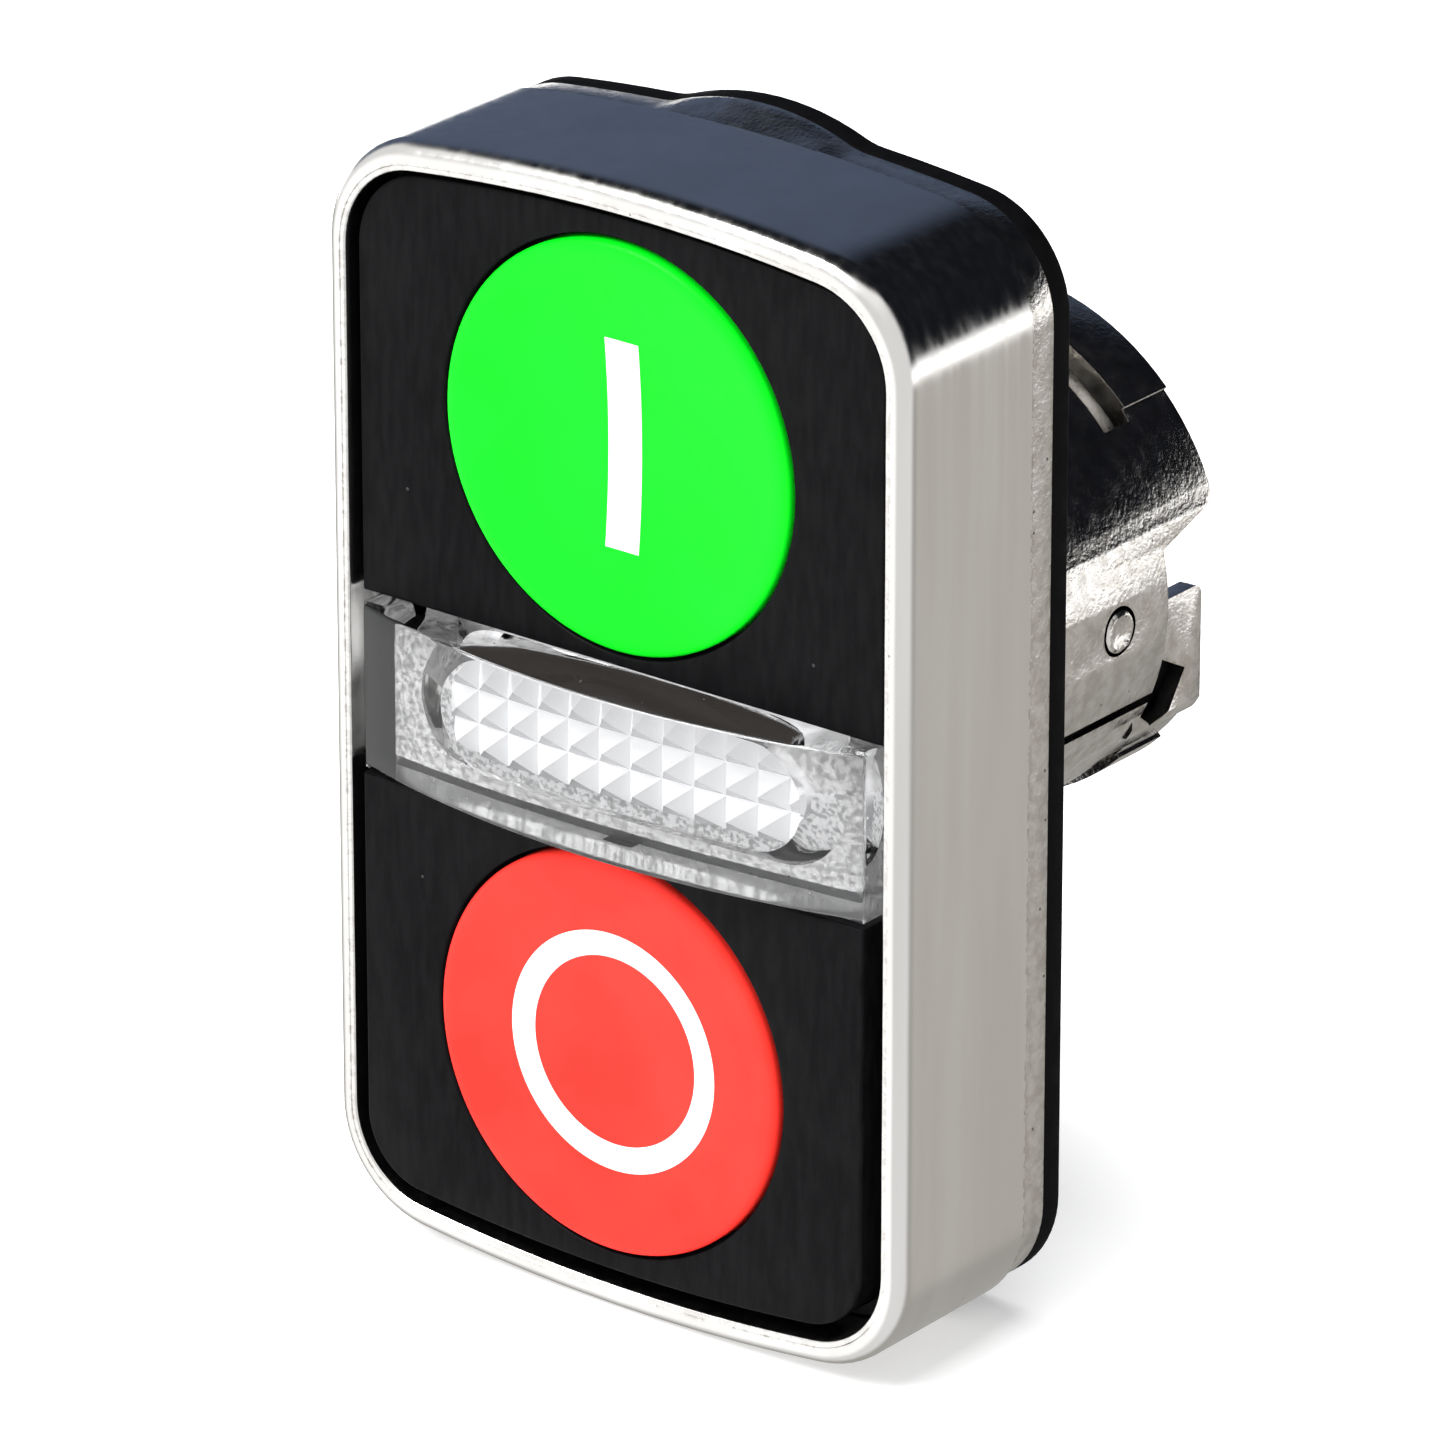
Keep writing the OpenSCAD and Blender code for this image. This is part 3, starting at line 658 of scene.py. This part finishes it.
opening_w = 27.8 * mm
opening_h = 47.5 * mm
opening_corner = 3.9 * mm
cap_gap = 0.17 * mm
plate_edge = 0.14 * mm
for name, node, cap_node, gap, end in (
        ("upper_plate", "upper_surround", "green_cap", 0.33 * mm, 1),
        ("lower_plate", "lower_surround", "red_cap", 0.8 * mm, -1)):
    low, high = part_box(node)
    outline = barrel(opening_w - 2 * gap, opening_h - 2 * gap, opening_corner - gap, end_bow)
    cut_z = (low.z if end > 0 else high.z) - mid_z
    kept = [(x, z) for x, z in outline if end * z > end * cut_z]
    # the outline starts and ends at the straight cut, which is its one long side
    first = next(i for i in range(len(kept)) if math.dist(kept[i], kept[i - 1]) > opening_w / 2)
    kept = kept[first:] + kept[:first]
    kept = [(kept[0][0], cut_z)] + kept + [(kept[-1][0], cut_z)]
    outline = [(x, z + mid_z) for i, (x, z) in enumerate(kept)
               if math.dist((x, z), kept[i - 1]) > hair]
    cap_low, cap_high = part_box(cap_node)
    centre_z = (cap_low.z + cap_high.z) / 2
    hole_r = (cap_high.x - cap_low.x) / 2 + cap_gap
    turn_to = [math.tau * i / hole_steps for i in range(hole_steps)]
    hole = [(hole_r * math.cos(a), centre_z + hole_r * math.sin(a)) for a in turn_to]
    new_piece(name, rounded_plate(outline, hole, low.y, high.y, plate_edge), black_plastic,
              "head", node)
for node in ("green_seal", "red_seal"):
    give_material(node, rubber)

# ---- Caps ----------------------------------------------------------------------------------
# Moulded caps with dished faces: green with a white bar, red with a white ring. The colour runs
# right through, the faces are satin from the mould, and the white marks are moulded in.
dish_r = 45 * mm
dish_in = 0.6 * mm
edge_r = 0.32 * mm
skirt = 0.9 * mm
crown = 1.5 * mm
skirt_edge = 0.1 * mm
ring_w = 1.15 * mm
dish_steps, ring_steps = 24, 144
# the marks stand a hair proud, are eased over their last bit, and are sunk in the crown behind
proud, eased, sunk = 0.03 * mm, 0.05 * mm, 0.3 * mm
mark_edge = [(0, proud - eased), (eased * 0.3, proud - eased * 0.35)]


def cap_material(name, face, deep):
    """Satin moulded plastic, a little deeper in colour in places, with a few scuffs."""
    material, tree, shader = new_material(name, Specular_IOR_Level=0.12)
    flow = use(tree, grain, Scale=220.0, Detail=4.0)
    satin = use(tree, grain, Scale=3800.0, Detail=3.0)
    scuffs = use(tree, spots, Scale=1100.0, Size=0.07, Share=0.07)
    colour = blend_colours(tree, spread(tree, flow.outputs[0], 0.35, 0.65, 0, 1), face, deep)
    marked = blend_colours(tree, spread(tree, scuffs.outputs[0], 0, 1, 0, 0.45), colour,
                           tuple(c * 0.45 for c in deep))
    tree.links.new(marked, shader.inputs["Base Color"])
    tree.links.new(spread(tree, satin.outputs[0], 0.3, 0.7, 0.34, 0.50), shader.inputs["Roughness"])
    bump(tree, shader, satin.outputs[0], 0.02 * mm, 0.4)
    return material


green_plastic = cap_material("green_plastic", (0.002, 1.0, 0.016), (0.001, 0.90, 0.012))
red_plastic = cap_material("red_plastic", (0.98, 0.040, 0.028), (0.90, 0.030, 0.020))
white_plastic, tree, shader = new_material("white_plastic", Specular_IOR_Level=0.2)
flow = use(tree, grain, Scale=600.0, Detail=4.0)
tree.links.new(blend_colours(tree, flow.outputs[0], (0.93, 0.93, 0.93), (1.0, 1.0, 1.0)),
               shader.inputs["Base Color"])
tree.links.new(spread(tree, flow.outputs[0], 0.3, 0.7, 0.35, 0.5), shader.inputs["Roughness"])


def bar_steps(half, count):
    """Places across a bar from edge to edge, close together where its edge is eased."""
    return ([-half + d for d, _ in mark_edge]
            + [(-half + eased) * (1 - i / count) for i in range(2 * count + 1)]
            + [half - d for d, _ in reversed(mark_edge)])


for colour, plastic in (("green", green_plastic), ("red", red_plastic)):
    low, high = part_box(f"{colour}_cap")
    cap_r = (high.x - low.x) / 2
    centre_z = (low.z + high.z) / 2
    dish_edge = cap_r - dish_in
    dish_top = math.sqrt(dish_r ** 2 - dish_edge ** 2)

    def dish(r, y0=low.y, top=dish_top):
        """Where the dished face lies at a distance from its middle."""
        return y0 + math.sqrt(dish_r ** 2 - r ** 2) - top

    dish_radii = [dish_edge * i / dish_steps for i in range(dish_steps)] + [dish_edge - 5 * hair]
    profile = [(r, dish(r)) for r in dish_radii] + [(dish_edge + 6 * hair, low.y)]
    profile += [(cap_r - edge_r * left, low.y + edge_r * gone) for left, gone in quarter(6)]
    profile += [(cap_r, high.y - skirt_edge), (cap_r - skirt_edge, high.y),
                (cap_r - skirt, high.y), (cap_r - skirt, low.y + crown), (0, low.y + crown)]
    cap = new_piece(f"{colour}_button_cap",
                    turned(profile, 128, lambda across, up, along: (across, along, centre_z + up)),
                    plastic, f"{colour}_button", f"{colour}_cap")
    cap.visible_transmission = cap.visible_glossy = False

    # the mark's face follows the dish
    mark_low, mark_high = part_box(f"{colour}_mark")
    bm = bmesh.new()
    if colour == "green":
        across = bar_steps((mark_high.x - mark_low.x) / 2, 4)
        upright = bar_steps((mark_high.z - mark_low.z) / 2, 24)
        grid = []
        for i, x in enumerate(across):
            line = []
            for k, z in enumerate(upright):
                rim = min(i, k, len(across) - 1 - i, len(upright) - 1 - k)
                lift = mark_edge[rim][1] if rim < len(mark_edge) else proud
                line.append(bm.verts.new((x, dish(math.hypot(x, z)) - lift, centre_z + z)))
            grid.append(line)
        join_rows(bm, grid)
    else:
        outer_r = (mark_high.x - mark_low.x) / 2
        inner_r = outer_r - ring_w
        flat_w = ring_w - 2 * eased
        radii = [(inner_r + d, lift) for d, lift in mark_edge]
        radii += [(inner_r + eased + flat_w * i / 6, proud) for i in range(7)]
        radii += [(outer_r - d, lift) for d, lift in reversed(mark_edge)]
        turn_to = [math.tau * k / ring_steps for k in range(ring_steps)]
        join_rings(bm, [[bm.verts.new((r * math.cos(a), dish(r) - lift,
                                       centre_z + r * math.sin(a))) for a in turn_to]
                        for r, lift in radii])
    # the mark is closed behind, sunk in the cap's crown
    rim_edges = [e for e in bm.edges if e.is_boundary]
    for v in bmesh.ops.extrude_edge_only(bm, edges=rim_edges)["geom"]:
        if isinstance(v, bmesh.types.BMVert):
            v.co.y = dish(math.hypot(v.co.x, v.co.z - centre_z)) + sunk
    bmesh.ops.triangle_fill(bm, use_beauty=True, edges=[e for e in bm.edges if e.is_boundary])
    new_piece(f"{colour}_white_mark", bm, white_plastic, f"{colour}_button",
              f"{colour}_mark")

# ---- Bezel ---------------------------------------------------------------------------------
# A zinc frame, die cast, brushed upright along its sides and chromed. Its front edge is rolled
# over to a narrow polished rim, and small pits and stains show where the edges are rubbed.
chromed, tree, shader = new_material("chromed_zinc", Metallic=1.0)
brushed = use(tree, grain, Scale=1900.0, Detail=4.0, Stretch=(1, 1, 0.03))
streaks = use(tree, grain, Scale=300.0, Detail=5.0, Stretch=(1, 1, 0.12))
pits = use(tree, spots, Scale=1900.0, Size=0.12, Share=0.02)
wear = use(tree, rubbed, Reach=0.22 * mm, Breakup=3000.0)
chrome = blend_colours(tree, spread(tree, streaks.outputs[0], 0.38, 0.62, 0, 1),
                       (0.82, 0.81, 0.785), (0.76, 0.745, 0.715))
stained = blend_colours(tree, spread(tree, wear.outputs[0], 0, 1, 0, 0.7), chrome,
                        (0.20, 0.16, 0.12))
pitted = blend_colours(tree, spread(tree, pits.outputs[0], 0, 1, 0, 0.6), stained,
                       (0.25, 0.22, 0.20))
tree.links.new(pitted, shader.inputs["Base Color"])
tree.links.new(spread(tree, brushed.outputs[0], 0.3, 0.7, 0.11, 0.24), shader.inputs["Roughness"])
bump(tree, shader, brushed.outputs[0], 0.015 * mm, 0.2)

wall = 1.1 * mm
roll = 0.95 * mm
rim_w = 0.84 * mm
step_w, step_in = 0.03 * mm, 0.035 * mm
inner_edge = 0.12 * mm
end_extra = 0.15 * mm
bezel_corner = 5 * mm
wave_size, wave_depth, wave_reach = 0.8 * mm, 0.012 * mm, 2 * mm
long_side, side_parts = 10 * mm, 40
bezel_w, bezel_h = bezel_high.x - bezel_low.x, bezel_high.z - bezel_low.z

# how far in from the outside, and where from front to back, round the wall's section
step_y = bezel_low.y + step_in
section = [(0.0, bezel_high.y), (0.0, bezel_high.y - 0.5 * mm)]
section += [(roll * 0.8 * gone, bezel_low.y + roll * left) for left, gone in quarter(10)]
section += [(rim_w, bezel_low.y), (rim_w + step_w, step_y)]
section += [(wall - inner_edge * left, step_y + inner_edge * gone) for left, gone in quarter(4)]
section += [(wall, bezel_high.y)]
bm = bmesh.new()
rings = []
for gap, y in section:
    end_gap = gap + end_extra * gap / wall
    loop = barrel(bezel_w - 2 * gap, bezel_h - 2 * end_gap, bezel_corner - gap, end_bow)
    ring = []
    for (x, z), (next_x, next_z) in zip(loop, loop[1:] + loop[:1]):
        parts = side_parts if math.hypot(next_x - x, next_z - z) > long_side else 1
        for k in range(parts):
            ring.append(bm.verts.new((x + (next_x - x) * k / parts, y,
                                      z + (next_z - z) * k / parts + mid_z)))
    rings.append(ring)
join_rings(bm, rings + rings[:1])
# the polished front isn't quite flat
for v in bm.verts:
    if v.co.y - bezel_low.y < wave_reach:
        v.co.y += noise.noise(v.co / wave_size) * wave_depth + wave_depth / 2
new_piece("chromed_bezel", bm, chromed, "head", "bezel_frame")

# ---- Studio --------------------------------------------------------------------------------
# A pale floor, soft light from all round, a dark wall high at the back for the metal to mirror,
# and a long lens from the right and above.
scene = bpy.context.scene
camera = bpy.data.objects.new("camera", bpy.data.cameras.new("camera"))
scene.collection.objects.link(camera)
scene.camera = camera
view_turn, view_rise, view_distance = math.radians(38.25), math.radians(22.84), 454.3 * mm
camera.data.sensor_width = 36
camera.data.lens = 280.3
aim = Vector((5.79 * mm, bezel_low.y, mid_z + 3.18 * mm))
from_aim = Vector((math.sin(view_turn) * math.cos(view_rise),
                   -math.cos(view_turn) * math.cos(view_rise), math.sin(view_rise)))
camera.location = aim + from_aim * view_distance
camera.rotation_euler = (-from_aim).to_track_quat("-Z", "Y").to_euler()

bm = bmesh.new()
floor_reach = 3.0
bm.faces.new([bm.verts.new((x * floor_reach, y * floor_reach, cad_low.z))
              for x, y in ((-1, -1), (1, -1), (1, 1), (-1, 1))])
floor_mesh = bpy.data.meshes.new("floor")
bm.to_mesh(floor_mesh)
bm.free()
floor = bpy.data.objects.new("floor", floor_mesh)
scene.collection.objects.link(floor)
paper, tree, shader = new_material(
    "paper", Roughness=0.9, Specular_IOR_Level=0.1, Emission_Strength=0.35,
    Emission_Color=(1, 1, 1, 1))
fibre = use(tree, grain, Scale=200.0, Detail=4.0)
tree.links.new(blend_colours(tree, fibre.outputs[0], (0.93, 0.93, 0.93), (0.95, 0.95, 0.95)),
               shader.inputs["Base Color"])
floor_mesh.materials.append(paper)
floor.visible_glossy = floor.visible_transmission = False

world = bpy.data.worlds.new("studio")
scene.world = world
world.use_nodes = True
tree = world.node_tree
tree.nodes.clear()
aimed = add(tree, "ShaderNodeTexCoord").outputs["Generated"]
up_front, down_front = (0.0, -0.3, 1.0), (-0.57, -0.72, -0.39)
back_left, back_right, overhead = (-0.8, 0.6, 0.25), (0.60, 0.70, -0.30), (-0.20, 0.20, 0.95)


def ramp(value, low, high):
    """Rises smoothly from 0 to 1 as a value goes from low to high."""
    return add(tree, "ShaderNodeMapRange", {
        "Value": value, "From Min": low, "From Max": high, "To Min": 0.0, "To Max": 1.0},
        interpolation_type="SMOOTHSTEP").outputs["Result"]


def towards(direction, far, near):
    """How far a line of sight lies towards a direction, from 0 at far to 1 at near degrees off."""
    dot = add(tree, "ShaderNodeVectorMath", {
        0: aimed, 1: tuple(Vector(direction).normalized())}, operation="DOT_PRODUCT")
    return ramp(dot.outputs["Value"], math.cos(math.radians(far)), math.cos(math.radians(near)))


across, along, up = add(tree, "ShaderNodeSeparateXYZ", {0: aimed}).outputs
light = blend_colours(tree, towards(down_front, 50, 25), (0.85, 0.85, 0.86), (1.35, 1.35, 1.36))
light = blend_colours(tree, towards(up_front, 50, 20), light, (1.1, 1.1, 1.1))
# behind: grey ground, a bright band at the horizon and a dark blue wall
wall_blue = blend_colours(tree, towards(back_left, 48, 12),
                          (0.008, 0.009, 0.012), (0.085, 0.11, 0.17))
ground = blend_colours(tree, towards(back_right, 25, 8), (0.42, 0.41, 0.39), (0.52, 0.50, 0.475))
behind = blend_colours(tree, ramp(up, -0.27, -0.17), ground, (1.9, 1.9, 1.92))
behind = blend_colours(tree, ramp(up, -0.10, 0.05), behind, wall_blue)
light = blend_colours(tree, ramp(along, -0.05, 0.32), light, behind)
light = blend_colours(tree, towards(overhead, 45, 30), light, wall_blue)
# a dark patch that only the clear lens shows, and plain white paper wherever nothing stands
path = add(tree, "ShaderNodeLightPath")
through = add(tree, "ShaderNodeMath", {
    0: path.outputs["Is Transmission Ray"], 1: towards(down_front, 48, 36)}, operation="MULTIPLY")
light = blend_colours(tree, through.outputs[0], light, (0.045, 0.040, 0.036))
seen = blend_colours(tree, path.outputs["Is Camera Ray"], light, (0.95, 0.95, 0.95))
background = add(tree, "ShaderNodeBackground", {"Color": seen, "Strength": 1.0})
add(tree, "ShaderNodeOutputWorld", {"Surface": background.outputs[0]})

for name, place, size, power in (("key", (-0.35, -0.65, 0.75), 0.5, 9.0),
                                 ("top", (0.0, 0.05, 0.8), 0.6, 6.0)):
    lamp = bpy.data.lights.new(name, "AREA")
    lamp.size = size
    lamp.energy = power
    stand = bpy.data.objects.new(name, lamp)
    scene.collection.objects.link(stand)
    stand.location = place
    stand.rotation_euler = (aim - Vector(place)).to_track_quat("-Z", "Y").to_euler()
    stand.visible_camera = False
    stand.visible_glossy = name == "key"
scene.view_settings.view_transform = "Standard"
